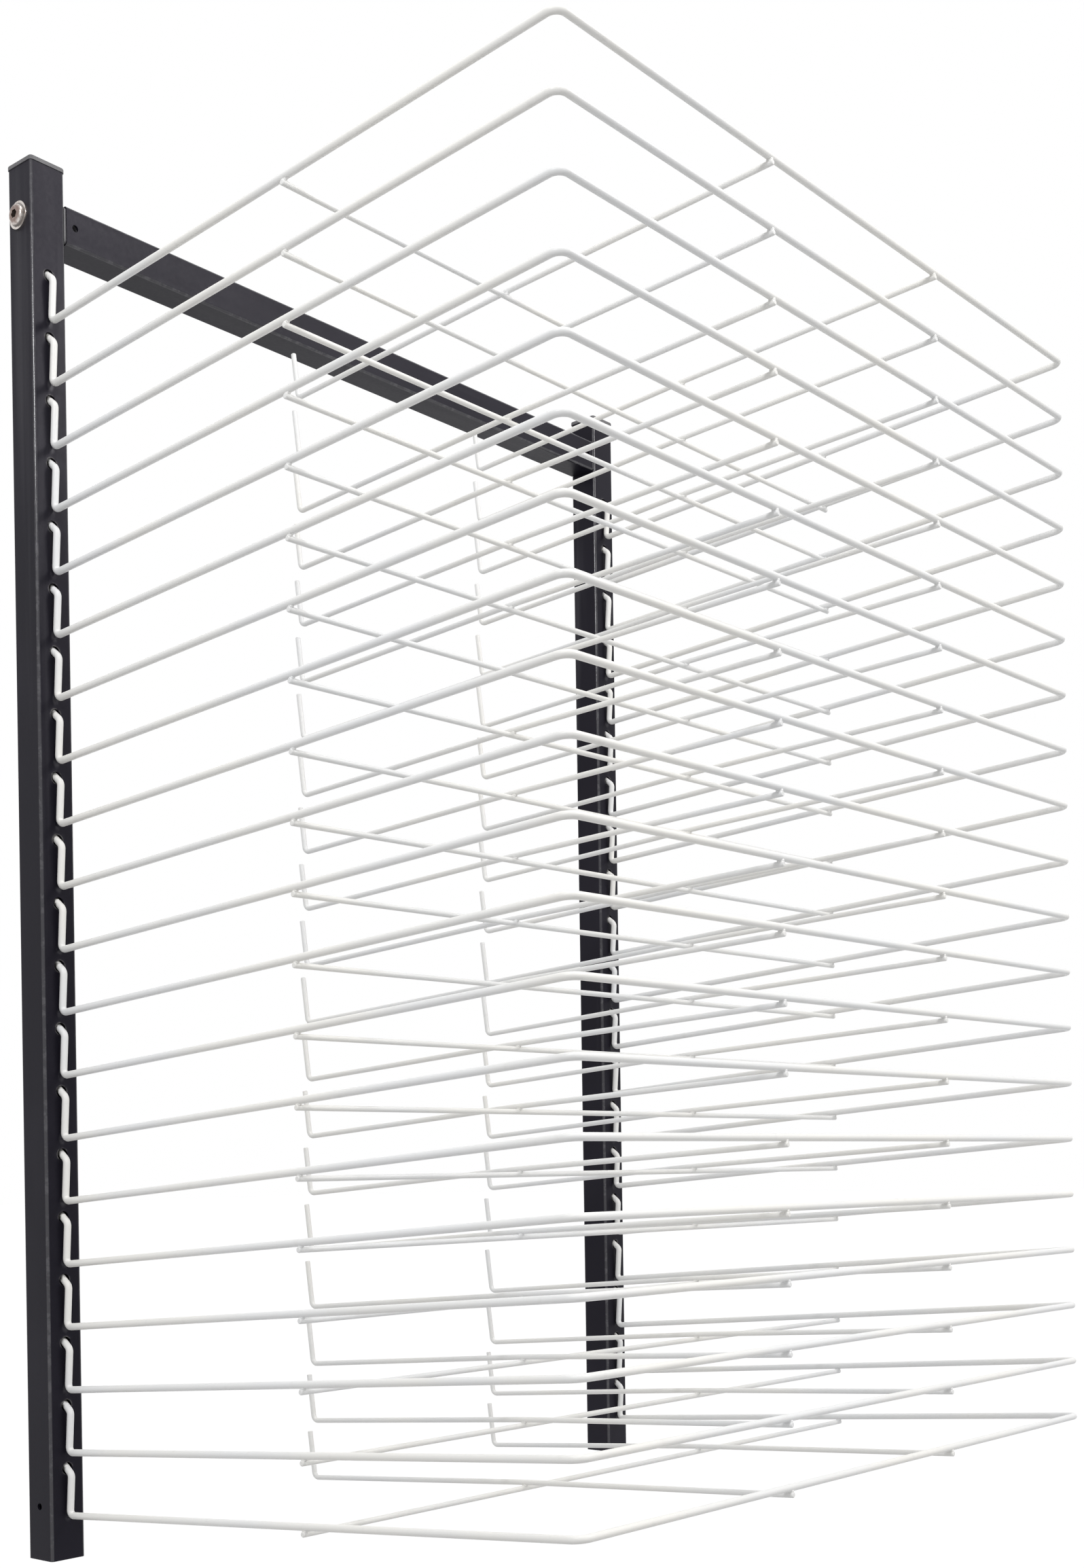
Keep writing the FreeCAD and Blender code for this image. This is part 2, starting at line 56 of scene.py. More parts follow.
def makeCamera(setup):
    lens = bpy.data.cameras.new("rackCamera")
    lens.lens = setup["focalLength"]
    lens.sensor_width = setup["longSide"]
    lens.shift_x = setup["shiftAcross"]
    lens.shift_y = setup["shiftUp"]
    lens.clip_start = setup["nearest"]
    lens.clip_end = setup["farthest"]
    camera = bpy.data.objects.new("rackCamera", lens)
    camera.location = setup["place"]
    camera.rotation_euler = (math.radians(90), setup["roll"], setup["heading"])
    scene.collection.objects.link(camera)
    scene.camera = camera


makeCamera(cameraSetup)
print("camera done")


class Signal:
    # a socket that can be used in plain sums; every sum adds its Math node
    def __init__(self, maker, socket):
        self.maker = maker
        self.socket = socket

    def calc(self, operation, *others):
        values = dict(enumerate((self, *others)))
        return self.maker.node("ShaderNodeMath", {"operation": operation}, values)

    def swapped(self, operation, other):
        return self.maker.node("ShaderNodeMath", {"operation": operation}, {0: other, 1: self})

    def __add__(self, other):
        return self.calc("ADD", other)

    def __sub__(self, other):
        return self.calc("SUBTRACT", other)

    def __mul__(self, other):
        return self.calc("MULTIPLY", other)

    def __truediv__(self, other):
        return self.calc("DIVIDE", other)

    def __rsub__(self, other):
        return self.swapped("SUBTRACT", other)

    def __rtruediv__(self, other):
        return self.swapped("DIVIDE", other)

    __radd__ = __add__
    __rmul__ = __mul__

    def size(self):
        return self.calc("ABSOLUTE")

    def root(self):
        return self.calc("SQRT")

    def offMiddle(self):
        # -0.5 to 0.5 within each whole step, 0 at its middle
        return self - self.calc("FLOOR") - 0.5

    def rise(self, low, high):
        # 0 below low, 1 above high, smooth between; low over high runs the other way
        if low > high:
            return 1 - self.rise(high, low)
        settings = {"interpolation_type": "SMOOTHSTEP"}
        return self.maker.node("ShaderNodeMapRange", settings, {0: self, 1: low, 2: high})


class Nodes:
    # a node tree, and the one way in which nodes are added to it
    def __init__(self, tree):
        self.tree = tree

    def add(self, kind, settings, inputs):
        # the settings come first, because some of them change the node's sockets
        made = self.tree.nodes.new(kind)
        for name, value in settings.items():
            setattr(made, name, value)
        self.feed(made, inputs)
        return made

    def feed(self, made, inputs):
        for place, value in inputs.items():
            if isinstance(value, Signal):
                self.tree.links.new(value.socket, made.inputs[place])
            else:
                made.inputs[place].default_value = value

    def node(self, kind, settings, inputs, output=0):
        return Signal(self, self.add(kind, settings, inputs).outputs[output])

    def seen(self):
        # 1 for what the camera shows, also in a mirror or through glass, 0 for light it casts
        rays = [self.node("ShaderNodeLightPath", {}, {}, f"Is {kind} Ray")
                for kind in ("Camera", "Glossy", "Transmission")]
        return sum(rays).rise(0.0, 1.0)


class Finish(Nodes):
    # one material, with its node tree
    def __init__(self, name, fixed):
        self.material = bpy.data.materials.new(name)
        self.material.use_nodes = True
        super().__init__(self.material.node_tree)
        self.tree.nodes.clear()
        self.shader = self.add("ShaderNodeBsdfPrincipled", {}, fixed)
        surface = Signal(self, self.shader.outputs[0])
        self.add("ShaderNodeOutputMaterial", {}, {"Surface": surface})

    def place(self):
        return self.node("ShaderNodeTexCoord", {}, {}, "Object")

    def axes(self):
        split = self.add("ShaderNodeSeparateXYZ", {}, {0: self.place()})
        return [Signal(self, output) for output in split.outputs]

    def noise(self, scale, detail=2.0, stretch=None, roughness=0.5):
        spot = self.place()
        if stretch:
            spot = self.node("ShaderNodeMapping", {}, {"Vector": spot, "Scale": stretch})
        values = {"Vector": spot, "Scale": scale, "Detail": detail, "Roughness": roughness}
        return self.node("ShaderNodeTexNoise", {}, values)

    def cells(self, scale):
        return self.node("ShaderNodeTexVoronoi", {}, {"Vector": self.place(), "Scale": scale})

    def blend(self, amount, low, high):
        low, high = [tuple(c) + (1.0,) if isinstance(c, tuple) else c for c in (low, high)]
        return self.node("ShaderNodeMix", {"data_type": "RGBA"}, {0: amount, 6: low, 7: high}, 2)

    def bump(self, height, strength, distance):
        values = {"Strength": strength, "Distance": distance, "Height": height}
        return self.node("ShaderNodeBump", {}, values)

    def use(self, **sockets):
        self.feed(self.shader, {name.replace("_", " "): sockets[name] for name in sockets})


wireCoat = {
    "colour": (0.83, 0.82, 0.79),
    "coolColour": (0.79, 0.795, 0.80),
    "dustColour": (0.70, 0.69, 0.67),
    "dust": 0.20,
    "rubbedColour": (0.30, 0.295, 0.285),
    "rubbedMetal": 0.7,
    "rubbedRoughness": 0.1,
    "roughness": 0.34,
    "speckRoughness": 0.08,
    "glossLevel": 0.3,
    "driftScale": 7.0,
    "speckScale": 160.0,
    # how much noise each effect starts at, and is full at
    "driftSpots": (0.35, 0.65),
    "dustSpots": (0.62, 0.74),
    "rubbedSpots": (0.42, 0.58),
    # y from which, and up to which, the hooks get rubbed by the posts' front walls
    "rubbedRange": (-0.0262, -0.0244),
}


def makeWireCoat(s):
    finish = Finish("wireCoat", {"IOR": 1.5, "Specular IOR Level": s["glossLevel"]})
    y = finish.axes()[1]
    drift = finish.noise(s["driftScale"])
    speck = finish.noise(s["speckScale"])
    rubbed = y.rise(*s["rubbedRange"]) * speck.rise(*s["rubbedSpots"])
    base = finish.blend(drift.rise(*s["driftSpots"]), s["colour"], s["coolColour"])
    dusty = finish.blend(speck.rise(*s["dustSpots"]) * s["dust"], base, s["dustColour"])
    finish.use(
        Base_Color=finish.blend(rubbed, dusty, s["rubbedColour"]),
        Roughness=s["roughness"] + (speck - 0.5) * s["speckRoughness"]
        + rubbed * s["rubbedRoughness"],
        Metallic=rubbed * s["rubbedMetal"],
    )
    return finish.material


tubeCoat = {
    "colour": (0.0084, 0.0076, 0.0125),
    "faded": (0.0140, 0.0128, 0.0192),
    "worn": (0.085, 0.083, 0.092),
    "bare": (0.30, 0.29, 0.28),
    "mirrorTint": (0.93, 0.90, 1.0, 1.0),
    "roughness": 0.42,
    "glossLevel": 0.12,
    "cornerGloss": 1.0,
    "cornerRoughness": 0.17,
    "grainScale": 1500,
    "grainDepth": 0.00006,
    "bumpStrength": 0.5,
    "pitScale": 420.0,
    "driftScale": 9.0,
    "chipScale": 150.0,
    "streakScale": 60.0,
    "streakStretch": 0.05,
    # how much noise each kind of wear starts at, and is full at
    "driftSpots": (0.36, 0.66),
    "streakSpots": (0.56, 0.80),
    "chipSpots": (0.47, 0.66),
    "haloSpots": (0.45, 0.75),
    "scuffSpots": (0.40, 0.62),
    "rimSpots": (0.42, 0.64),
    # how far each kind of wear goes towards its lighter colour; on the corners this is also a
    # painted highlight
    "streakWear": 0.30,
    # even lightening of every corner: edge wear, and a painted highlight on the rounded edges
    "cornerWearAndHighlight": 0.15,
    "chipWear": 0.55,
    "haloWear": 0.16,
    "scuffWear": 0.5,
    "rimWear": 0.35,
    # what each adds to the roughness or takes from it
    "streakRoughness": 0.16,
    "pitRoughness": 0.10,
    "chipPolish": 0.08,
    "scuffPolish": 0.12,
    "grainShare": 0.6,  # of the relief, the pits have the rest
    "cornerFlattening": 0.85,
    "halfSide": 0.0125,
    "corner": (0.02305, 0.0237),  # sum of both distances from the tube's axis
    "frontFace": (-0.0243, -0.0249),  # y at which the front face begins, and is full
    "postAcross": 0.280,  # from the middle to each post's axis
    "firstHole": -0.0375,
    "holePitch": 0.040,
    "holeCount": 20,
    "holeRadius": 0.0038,
    "rowFade": 0.0005,
    "rimWidth": 0.0009,
    "haloWidth": 0.0034,
    "rubBelow": 0.0300,  # the rear bend of a shelf rests this far under its hole
    "scuffStart": (0.018, 0.022),  # below the first hole
    "scuffRadius": (0.0032, 0.0012),
    "scuffStretch": 0.45,
}


def makeTubeCoat(name, s, upright):
    finish = Finish(name, {
        "IOR": 1.5,
        "Specular IOR Level": s["glossLevel"],
        "Specular Tint": s["mirrorTint"],
        "Coat Roughness": s["cornerRoughness"],
    })
    x, y, z = finish.axes()
    grain = finish.noise(s["grainScale"])
    pits = finish.noise(s["pitScale"])
    drift = finish.noise(s["driftScale"], 3.0)
    chips = finish.noise(s["chipScale"], 4.0, roughness=0.65)
    along = (1.0, 1.0, s["streakStretch"]) if upright else (s["streakStretch"], 1.0, 1.0)
    streaks = finish.noise(s["streakScale"], 3.0, along)
    # the sum of the two distances from the tube's axis is largest on its four corners
    depth = (y + s["halfSide"]).size()
    across = (x.size() - s["postAcross"]).size() if upright else z.size()
    corner = (depth + across).rise(*s["corner"])
    edgeWear = corner * chips.rise(*s["chipSpots"])
    colour = finish.blend(drift.rise(*s["driftSpots"]), s["colour"], s["faded"])
    streaked = streaks.rise(*s["streakSpots"]) * s["streakWear"]
    colour = finish.blend(streaked, colour, s["worn"])
    # lighter along every corner: edge wear, and a painted highlight on the rounded edges
    colour = finish.blend(corner * s["cornerWearAndHighlight"], colour, s["worn"])
    colour = finish.blend(edgeWear * s["chipWear"], colour, s["worn"])
    roughness = s["roughness"] + (streaks - 0.5) * s["streakRoughness"]
    roughness = roughness + (pits - 0.5) * s["pitRoughness"]
    if upright:
        # wear around the hook holes and under them, on the front face only
        top = s["firstHole"] + s["holePitch"] / 2
        foot = top - s["holeCount"] * s["holePitch"]
        fade = s["rowFade"]
        inRow = z.rise(foot - fade, foot + fade) * z.rise(top + fade, top - fade)
        step = (z - s["firstHole"]) / s["holePitch"] + 0.5
        aside = step.offMiddle() * s["holePitch"]
        face = y.rise(*s["frontFace"])
        front = face * inRow
        ring = (across * across + aside * aside).root()
        rim = ring.rise(s["holeRadius"] + s["rimWidth"], s["holeRadius"]) * front
        halo = ring.rise(s["holeRadius"] + s["haloWidth"], s["holeRadius"]) * front
        below = (step + s["rubBelow"] / s["holePitch"]).offMiddle() * s["holePitch"]
        under = face * z.rise(*(s["firstHole"] - drop for drop in s["scuffStart"]))
        spread = (across * across + below * below * s["scuffStretch"]).root()
        scuff = spread.rise(*s["scuffRadius"]) * under
        for kind, where, worn in (("halo", halo, s["worn"]), ("scuff", scuff, s["worn"]),
                                  ("rim", rim, s["bare"])):
            amount = where * chips.rise(*s[f"{kind}Spots"]) * s[f"{kind}Wear"]
            colour = finish.blend(amount, colour, worn)
        roughness = roughness - scuff * s["scuffPolish"]
    relief = grain * s["grainShare"] + pits * (1 - s["grainShare"])
    relief = relief * (1 - corner * s["cornerFlattening"])
    finish.use(
        Base_Color=colour,
        Roughness=roughness - edgeWear * s["chipPolish"],
        Coat_Weight=corner * s["cornerGloss"],
        Normal=finish.bump(relief, s["bumpStrength"], s["grainDepth"]),
    )
    return finish.material


capPlastic = {
    "colour": (0.110, 0.108, 0.114),
    "rubbed": (0.20, 0.197, 0.204),
    "roughness": 0.52,
    "markRoughness": 0.25,
    "glossLevel": 0.42,
    "sparkGrain": 2200,
    "grainDepth": 0.00008,
    "bumpStrength": 0.5,
    "driftScale": 40.0,
    "markScale": 260.0,
    "markStretch": (1.0, 0.25, 1.0),
    "driftSpots": (0.35, 0.70),
    "driftWear": 0.4,
    "markSpots": (0.60, 0.75),
    "markWear": 0.45,
}
plugPlastic = {**capPlastic, "sparkGrain": 1600}


def makePlastic(name, s):
    finish = Finish(name, {"IOR": 1.49, "Specular IOR Level": s["glossLevel"]})
    spark = finish.cells(s["sparkGrain"])
    drift = finish.noise(s["driftScale"], 3.0)
    marks = finish.noise(s["markScale"], 4.0, s["markStretch"], 0.6)
    drifted = drift.rise(*s["driftSpots"]) * s["driftWear"]
    marked = marks.rise(*s["markSpots"]) * s["markWear"]
    colour = finish.blend(drifted, s["colour"], s["rubbed"])
    finish.use(
        Base_Color=finish.blend(marked, colour, s["rubbed"]),
        Roughness=s["roughness"] + (marks - 0.5) * s["markRoughness"],
        Normal=finish.bump(spark, s["bumpStrength"], s["grainDepth"]),
    )
    return finish.material


boltMetal = {
    "colour": (0.70, 0.655, 0.625),
    "tarnish": (0.40, 0.345, 0.315),
    # brownish painted reflection for the middle of the dome
    "paintedReflection": (0.19, 0.120, 0.100),
    # dark painted shade for the socket and for the ring where the dome meets the tube
    "paintedShade": (0.045, 0.040, 0.037),
    "roughness": 0.20,
    "glossLevel": 0.5,
    "axis": (-0.0125, 0.0),  # y and z of the two bolts
    "domeAcross": 0.0136,
    "socketAcross": 0.0050,
    "socketFloor": (0.2966, 0.2958),  # x, from the dome's top down into the socket
    # shares of the socket's and the dome's width, from 0 to full
    "socketEdge": (0.62, 0.50),
    "seamInner": (0.46, 0.50),
    "seamOuter": (0.56, 0.515),
    "paintedReflectionEdge": (0.50, 0.34),
    "tarnishSpots": (0.46, 0.72),
    "paintedReflectionSpots": (0.22, 0.50),
    "paintedReflectionAmount": 0.85,
    # how strong the painted shade is in the seam ring and the socket, and how much duller and
    # rougher the metal is there
    "seamShade": 0.6,
    "socketShade": 0.75,
    "shadeDulling": 0.6,
    "shadeRoughness": 0.35,
    "blotchRoughness": 0.18,
    "scratchRoughness": 0.05,
    "turningLines": 9000.0,
    "blotchScale": 330.0,
    "scratchScale": 900.0,
    "scratchStretch": (1.0, 1.0, 0.2),
    "bumpStrength": 0.16,
    "bumpDepth": 0.00006,
}


def makeBoltMetal(s):
    finish = Finish("boltMetal", {"Specular IOR Level": s["glossLevel"]})
    x, y, z = finish.axes()
    up, out = z - s["axis"][1], y - s["axis"][0]
    ring = (up * up + out * out).root()
    blotch = finish.noise(s["blotchScale"], 4.0, roughness=0.6)
    turned = (ring * s["turningLines"]).calc("SINE") * 0.5 + 0.5
    scratch = finish.noise(s["scratchScale"], 2.0, s["scratchStretch"])

    def band(width, edges):
        return ring.rise(*(width * share for share in edges))

    inSocket = band(s["socketAcross"], s["socketEdge"]) * x.size().rise(*s["socketFloor"])
    seam = band(s["domeAcross"], s["seamInner"]) * band(s["domeAcross"], s["seamOuter"])
    # painted shade: darker in the socket's recess and in a ring round the dome's foot, also less
    # metallic and rougher there
    shadeMask = seam * s["seamShade"] + inSocket * s["socketShade"]
    # painted reflection: a blotchy brownish patch over the middle of the dome
    middle = band(s["domeAcross"], s["paintedReflectionEdge"]) * blotch.rise(*s["paintedReflectionSpots"])
    colour = finish.blend(blotch.rise(*s["tarnishSpots"]), s["colour"], s["tarnish"])
    colour = finish.blend(middle * s["paintedReflectionAmount"], colour, s["paintedReflection"])
    roughness = s["roughness"] + (blotch - 0.5) * s["blotchRoughness"]
    roughness = roughness + shadeMask * s["shadeRoughness"] + scratch * s["scratchRoughness"]
    finish.use(
        Base_Color=finish.blend(shadeMask, colour, s["paintedShade"]),
        Metallic=1 - shadeMask * s["shadeDulling"],
        Roughness=roughness,
        Normal=finish.bump(turned * 0.5 + scratch * 0.5, s["bumpStrength"], s["bumpDepth"]),
    )
    return finish.material


wireMaterial = makeWireCoat(wireCoat)
finishes = {
    "post_left": makeTubeCoat("postCoat", tubeCoat, True),
    "crossbar": makeTubeCoat("crossbarCoat", tubeCoat, False),
    "post_cap_left": makePlastic("capPlastic", capPlastic),
    "crossbar_end_plug_left": makePlastic("plugPlastic", plugPlastic),
    "frame_bolts": makeBoltMetal(boltMetal),
}
for pair in ("post", "post_cap", "crossbar_end_plug"):
    finishes[f"{pair}_right"] = finishes[f"{pair}_left"]
for name, material in finishes.items():
    for place in cadNodes[name].material_slots:
        place.material = material
print("materials done")


shelf = {
    "count": 20,
    "pitch": 0.040,
    "rearCorner": (-0.02724, -0.0675),  # y and z of the top shelf's rear corners
    "tilt": 4.3,  # degrees, up towards the front
    "across": 0.560,
    "depth": 0.425,
    "cornerRadius": 0.007,
    "frameWire": 0.0045,
    "rodWire": 0.0035,
    "weldGap": 0.00005,
    "legAngle": 81.2,
    "bendRadius": 0.0035,
    "legRun": 0.020038,
    "joggleRadius": 0.004,
    "joggleAngle": 58.0,
    "joggleRun": 0.006999,
    "tailLength": 0.0085,
    "rodSpacing": 0.1867,
    "crossWireReach": 0.222,
    "rodSetback": 0.024,
    "stopHeight": 0.032,
    "stopAngle": 93.6,
    "stopBend": 0.004,
    "kinkRadius": 0.400,
    "bendStep": 7.5,  # degrees between the points of a bend
    "hookBendStep": 11.25,
    "frameSides": 20,
    "rodSides": 16,
    "tipRound": 0.0007,  # coated ends of the wires
}


def bentPath(start, heading, across, moves, step):
    # points of a bent wire; heading and across are unit vectors, and a bend turns towards across
    points = [Vector(start)]
    ahead, side = Vector(heading), Vector(across)
    for move in moves:
        if move[0] == "run":
            points.append(points[-1] + ahead * move[1])
            continue
        radius, turn = move[1], math.radians(move[2])
        sign = 1 if move[0] == "left" else -1
        centre = points[-1] + side * sign * radius
        arm = points[-1] - centre
        count = max(1, math.ceil(abs(move[2]) / step))
        for n in range(1, count + 1):
            angle = turn * n / count
            points.append(centre + arm * math.cos(angle) + ahead * radius * math.sin(angle))
        ahead, side = (
            ahead * math.cos(turn) + side * sign * math.sin(turn),
            side * math.cos(turn) - ahead * sign * math.sin(turn),
        )
    return points


def frameWirePath(s):
    # the left half from the middle of the front to the hook's tail, then its mirror image
    setback = s["bendRadius"] / math.tan(math.radians(s["legAngle"] / 2))
    left = -s["across"] / 2
    rail = bentPath(
        (0, -s["depth"], 0), (-1, 0, 0), (0, 1, 0),
        [("run", s["across"] / 2 - s["cornerRadius"]), ("left", s["cornerRadius"], 90),
         ("run", s["depth"] - s["cornerRadius"] - setback)],
        s["bendStep"])
    hook = bentPath(
        (left, -setback, 0), (0, 1, 0), (0, 0, 1),
        [("left", s["bendRadius"], 180 - s["legAngle"]), ("run", s["legRun"]),
         ("right", s["joggleRadius"], s["joggleAngle"]), ("run", s["joggleRun"]),
         ("left", s["joggleRadius"], s["joggleAngle"]), ("run", s["tailLength"])],
        s["hookBendStep"])
    half = rail + hook[1:]
    mirrored = [Vector((-p.x, p.y, p.z)) for p in reversed(half[1:])]
    return mirrored + half


def crossWireDrop(s):
    # from the side rails' axes down to the cross wire's
    return (s["frameWire"] + s["rodWire"]) / 2 + s["weldGap"]


def rodPath(s, side):
    # over the cross wire, under the front wire, and up at the rear end
    drop = crossWireDrop(s)
    level = -(drop - s["rodWire"] - s["weldGap"])
    cell = s["depth"] - s["crossWireReach"]
    slope = math.asin(drop / math.hypot(cell, level)) - math.atan(-level / cell)
    reach = cell + s["frameWire"] / 2
    kink = s["kinkRadius"] * math.tan(slope / 2)
    stop = s["stopBend"] / math.tan(math.radians(s["stopAngle"] / 2))
    front = -s["depth"] - s["frameWire"] / 2
    start = (side * s["rodSpacing"] / 2, front, level - reach * math.tan(slope))
    climb = (s["stopHeight"] - level) / math.sin(math.radians(s["stopAngle"])) - stop
    return bentPath(
        start, (0, math.cos(slope), math.sin(slope)), (0, -math.sin(slope), math.cos(slope)),
        [("run", reach / math.cos(slope) - kink),
         ("right", s["kinkRadius"], math.degrees(slope)),
         ("run", s["crossWireReach"] - s["rodSetback"] - kink - stop),
         ("left", s["stopBend"], 180 - s["stopAngle"]), ("run", climb)],
        s["hookBendStep"])


def crossWirePath(s):
    half = (s["across"] + s["frameWire"]) / 2
    return [Vector((end, -s["crossWireReach"], -crossWireDrop(s))) for end in (-half, half)]


def roundedEnds(points, tip):
    # thins the wire over its last stretch, so that its coated end is round
    sizes = [1.0] * len(points)
    turns = [math.pi / 2 * part for part in (0.15, 0.45, 0.75)]
    for forward in (True, False):
        if not forward:
            points, sizes = points[::-1], sizes[::-1]
        end = points[0]
        ahead = (points[1] - end).normalized()
        fresh = [end + ahead * tip * (1 - math.cos(turn)) for turn in turns]
        points = fresh + [end + ahead * tip] + points[1:]
        sizes = [math.sin(turn) for turn in turns] + [1.0] + sizes[1:]
    return points[::-1], sizes[::-1]


def pathMesh(name, wires, tip):
    # edges along the wires, with each point's radius as an attribute
    mesh = bpy.data.meshes.new(name)
    points, edges, radii = [], [], []
    for path, width in wires:
        path, sizes = roundedEnds(path, tip)
        first = len(points)
        points += path
        radii += [width / 2 - tip + tip * size if size < 1 else width / 2 for size in sizes]
        edges += [(first + n, first + n + 1) for n in range(len(path) - 1)]
    mesh.from_pydata(points, edges, [])
    thickness = mesh.attributes.new("wireRadius", "FLOAT", "POINT")
    thickness.data.foreach_set("value", radii)
    return mesh


class Tree(Nodes):
    # a Geometry Nodes tree for a shelf's piece, with named inputs
    placing = (("Drop", "NodeSocketFloat"), ("Tilt", "NodeSocketFloat"),
               ("Rear", "NodeSocketVector"), ("Coating", "NodeSocketMaterial"))

    def __init__(self, name, inputs):
        super().__init__(bpy.data.node_groups.new(name, "GeometryNodeTree"))
        sockets = self.tree.interface
        sockets.new_socket("Geometry", in_out="INPUT", socket_type="NodeSocketGeometry")
        for title, kind in (*inputs, *self.placing):
            sockets.new_socket(title, in_out="INPUT", socket_type=kind)
        sockets.new_socket("Geometry", in_out="OUTPUT", socket_type="NodeSocketGeometry")

    def given(self, title):
        return self.node("NodeGroupInput", {}, {}, title)

    def placed(self, geometry):
        # tips the piece up and lowers it to its shelf's level
        turn = self.node("ShaderNodeCombineXYZ", {}, {0: self.given("Tilt")})
        fall = self.node("ShaderNodeCombineXYZ", {}, {2: self.given("Drop")})
        spot = self.node("ShaderNodeVectorMath", {"operation": "SUBTRACT"},
                         {0: self.given("Rear"), 1: fall})
        return self.node("GeometryNodeTransform", {},
                         {0: geometry, "Translation": spot, "Rotation": turn})

    def smooth(self, geometry):
        return self.node("GeometryNodeSetShadeSmooth", {}, {0: geometry, "Shade Smooth": True})

    def finish(self, geometry):
        real = self.node("GeometryNodeRealizeInstances", {}, {0: geometry})
        coated = self.node("GeometryNodeSetMaterial", {},
                           {"Geometry": real, "Material": self.given("Coating")})
        self.add("NodeGroupOutput", {}, {0: coated})

    def identifier(self, title):
        return next(item.identifier for item in self.tree.interface.items_tree
                    if item.name == title and item.in_out == "INPUT")


def makeWireTree():
    tree = Tree("bentWire", [("Sides", "NodeSocketInt")])
    line = tree.node("GeometryNodeMeshToCurve", {}, {0: tree.given("Geometry")})
    ring = tree.node("GeometryNodeCurvePrimitiveCircle", {"mode": "RADIUS"},
                     {"Resolution": tree.given("Sides"), "Radius": 1.0})
    radius = tree.node("GeometryNodeInputNamedAttribute", {"data_type": "FLOAT"},
                       {"Name": "wireRadius"})
    tube = tree.node("GeometryNodeCurveToMesh", {},
                     {"Curve": line, "Profile Curve": ring, "Scale": radius, "Fill Caps": True})
    tree.finish(tree.placed(tree.smooth(tube)))
    return tree


weld = {
    "across": 0.0032,
    "along": 0.0046,
    "rounds": 3,  # how finely the bead is divided
    "lumpScale": 3.0,
    "lumpHeight": 0.16,  # as a share of the bead
    "twist": (0.12, 0.12, 0.25),  # radians each way
    "seed": 5,
}


def weldPlaces(s):
    # where the wires cross
    cross, front = -s["crossWireReach"], -s["depth"]
    half, rod = s["across"] / 2, s["rodSpacing"] / 2
    places = []
    for side in (-1, 1):
        places.append((side * half, cross, -s["frameWire"] / 2))
        places.append((side * rod, cross, -crossWireDrop(s) + s["rodWire"] / 2))
        places.append((side * rod, front, -s["frameWire"] / 2))
    return places


def makeWeldTree(s):
    tree = Tree("weldBeads", [("Across", "NodeSocketFloat"), ("Along", "NodeSocketFloat")])
    bead = tree.node("GeometryNodeMeshIcoSphere", {}, {"Radius": 0.5, "Subdivisions": s["rounds"]})
    lumps = tree.node("ShaderNodeTexNoise", {}, {"Scale": s["lumpScale"], "Detail": 1.0})
    height = lumps.calc("MULTIPLY_ADD", s["lumpHeight"], -s["lumpHeight"] / 2)
    outward = tree.node("ShaderNodeVectorMath", {"operation": "SCALE"},
                        {0: tree.node("GeometryNodeInputNormal", {}, {}), "Scale": height})
    bead = tree.node("GeometryNodeSetPosition", {}, {0: bead, "Offset": outward})
    across = tree.given("Across")
    scale = tree.node("ShaderNodeCombineXYZ", {}, {0: across, 1: tree.given("Along"), 2: across})
    turn = tree.node("FunctionNodeRandomValue", {"data_type": "FLOAT_VECTOR"},
                     {0: [-most for most in s["twist"]], 1: s["twist"], "Seed": s["seed"]})
    many = tree.node("GeometryNodeInstanceOnPoints", {},
                     {"Points": tree.given("Geometry"), "Instance": bead, "Rotation": turn,
                      "Scale": scale})
    tree.finish(tree.smooth(tree.placed(many)))
    return tree


def evaluated(name, source, tree, inputs):
    # runs the tree on the source, and keeps the result as a plain mesh
    carrier = bpy.data.objects.new(name + "Source", source)
    scene.collection.objects.link(carrier)
    modifier = carrier.modifiers.new("nodes", "NODES")
    modifier.node_group = tree.tree
    for title, value in inputs.items():
        modifier[tree.identifier(title)] = value
    graph = bpy.context.evaluated_depsgraph_get()
    mesh = bpy.data.meshes.new_from_object(carrier.evaluated_get(graph))
    bpy.data.objects.remove(carrier)
    mesh.name = name
    piece = bpy.data.objects.new(name, mesh)
    scene.collection.objects.link(piece)
    return piece


def makeShelves(s, beadSetup):
    wires, welds = makeWireTree(), makeWeldTree(beadSetup)
    frameLine = pathMesh("frameLine", [(frameWirePath(s), s["frameWire"])], s["tipRound"])
    rodPaths = [crossWirePath(s), rodPath(s, -1), rodPath(s, 1)]
    rodLine = pathMesh("rodLine", [(path, s["rodWire"]) for path in rodPaths], s["tipRound"])
    weldPoints = bpy.data.meshes.new("weldPoints")
    weldPoints.from_pydata(weldPlaces(s), [], [])
    beadSize = {"Across": beadSetup["across"], "Along": beadSetup["along"]}
    for number in range(s["count"]):
        label = f"{number + 1:02d}"
        place = {"Drop": number * s["pitch"], "Tilt": -math.radians(s["tilt"]),
                 "Rear": (0.0, *s["rearCorner"]), "Coating": wireMaterial}
        frameWire = evaluated(f"frameWire{label}", frameLine, wires,
                              {"Sides": s["frameSides"], **place})
        rodWires = evaluated(f"rodWires{label}", rodLine, wires, {"Sides": s["rodSides"], **place})
        beads = evaluated(f"welds{label}", weldPoints, welds, {**beadSize, **place})
        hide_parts(f"shelf_{label}_frame")
        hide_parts(f"shelf_{label}_rods")
        for piece in (frameWire, rodWires, beads):
            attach(piece, f"shelf_{label}")


makeShelves(shelf, weld)
print("shelves done")


stage = {
    "floorHeight": -1.65,
    "floorSize": 120.0,
    "floorColour": (0.28, 0.28, 0.28, 1.0),
    "floorRoughness": 0.9,
    "floorGloss": 0.1,
    "floorGlow": 0.80,
    "hiddenGlow": (0.36, 0.36, 0.36),  # what the floor sends up to the wires' undersides
    "skyTop": 0.75,
    "skyBottom": 0.62,
    "skyFrom": -0.5,  # heights of the view between which the sky brightens
    "skyTo": 0.9,
}


